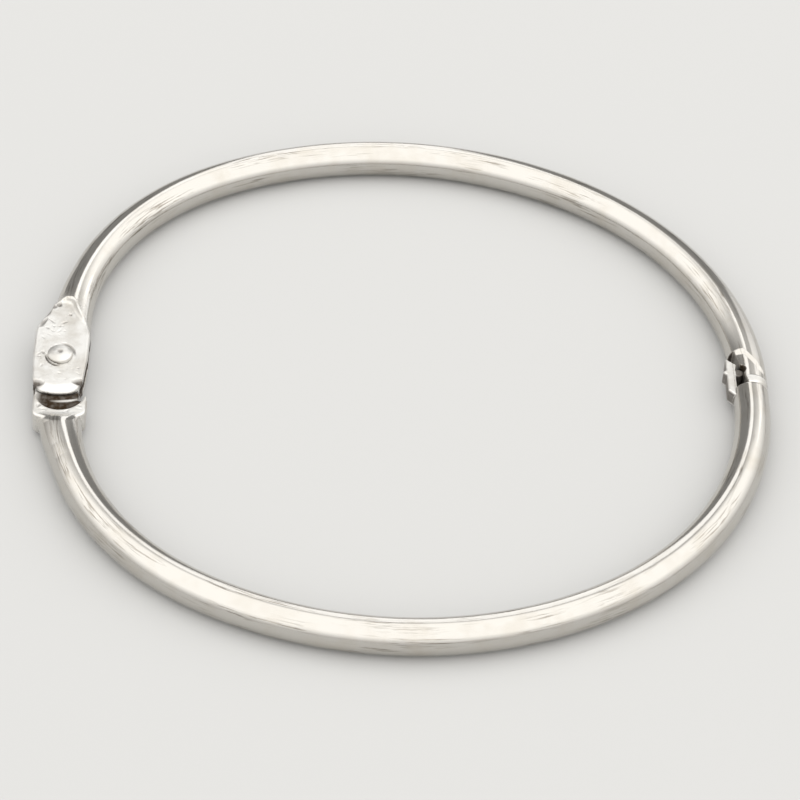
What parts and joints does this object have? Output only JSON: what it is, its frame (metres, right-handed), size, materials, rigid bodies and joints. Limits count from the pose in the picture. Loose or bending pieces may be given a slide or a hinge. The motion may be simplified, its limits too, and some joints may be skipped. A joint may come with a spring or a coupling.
{
  "type": "binder ring",
  "caption": "Hinged loose-leaf binder ring of thick round wire: two bent halves swing on a riveted fork hinge and shut with a notched snap clasp to hold punched sheets.",
  "frame": {"origin": "middle of the page loop: on the line through the rivet, midway between the wire's outer sides at the hinge and at the clasp, in the wire's middle plane", "axes": "+Z along the rivet, square to the ring's plane; +X towards the clasp, -X towards the hinge; +Y towards the crown of the half that carries the fork. The ring lies flat, shut."},
  "size_m": [0.1025, 0.1046, 0.005],
  "materials": {
    "fork_half": "nickel plate over bent and pressed steel wire, bright, with faint drawing lines and press marks",
    "tongue_half": "nickel plate over bent and pressed steel wire, bright, with faint drawing lines and press marks",
    "rivet": "nickel plate over steel, peened to a low dome"
  },
  "bodies": {
    "fork_half": {"fork_half_ring": "fork_half", "hinge_rivet": "rivet"},
    "tongue_half": {"tongue_half_ring": "tongue_half"}
  },
  "joints": [
    {"name": "hinge_swing", "type": "hinge", "parent": "fork_half", "child": "tongue_half", "pos_m": [-0.0487, 0, 0], "axis": [0, 0, -1], "range_deg": [0, 95]}
  ]
}
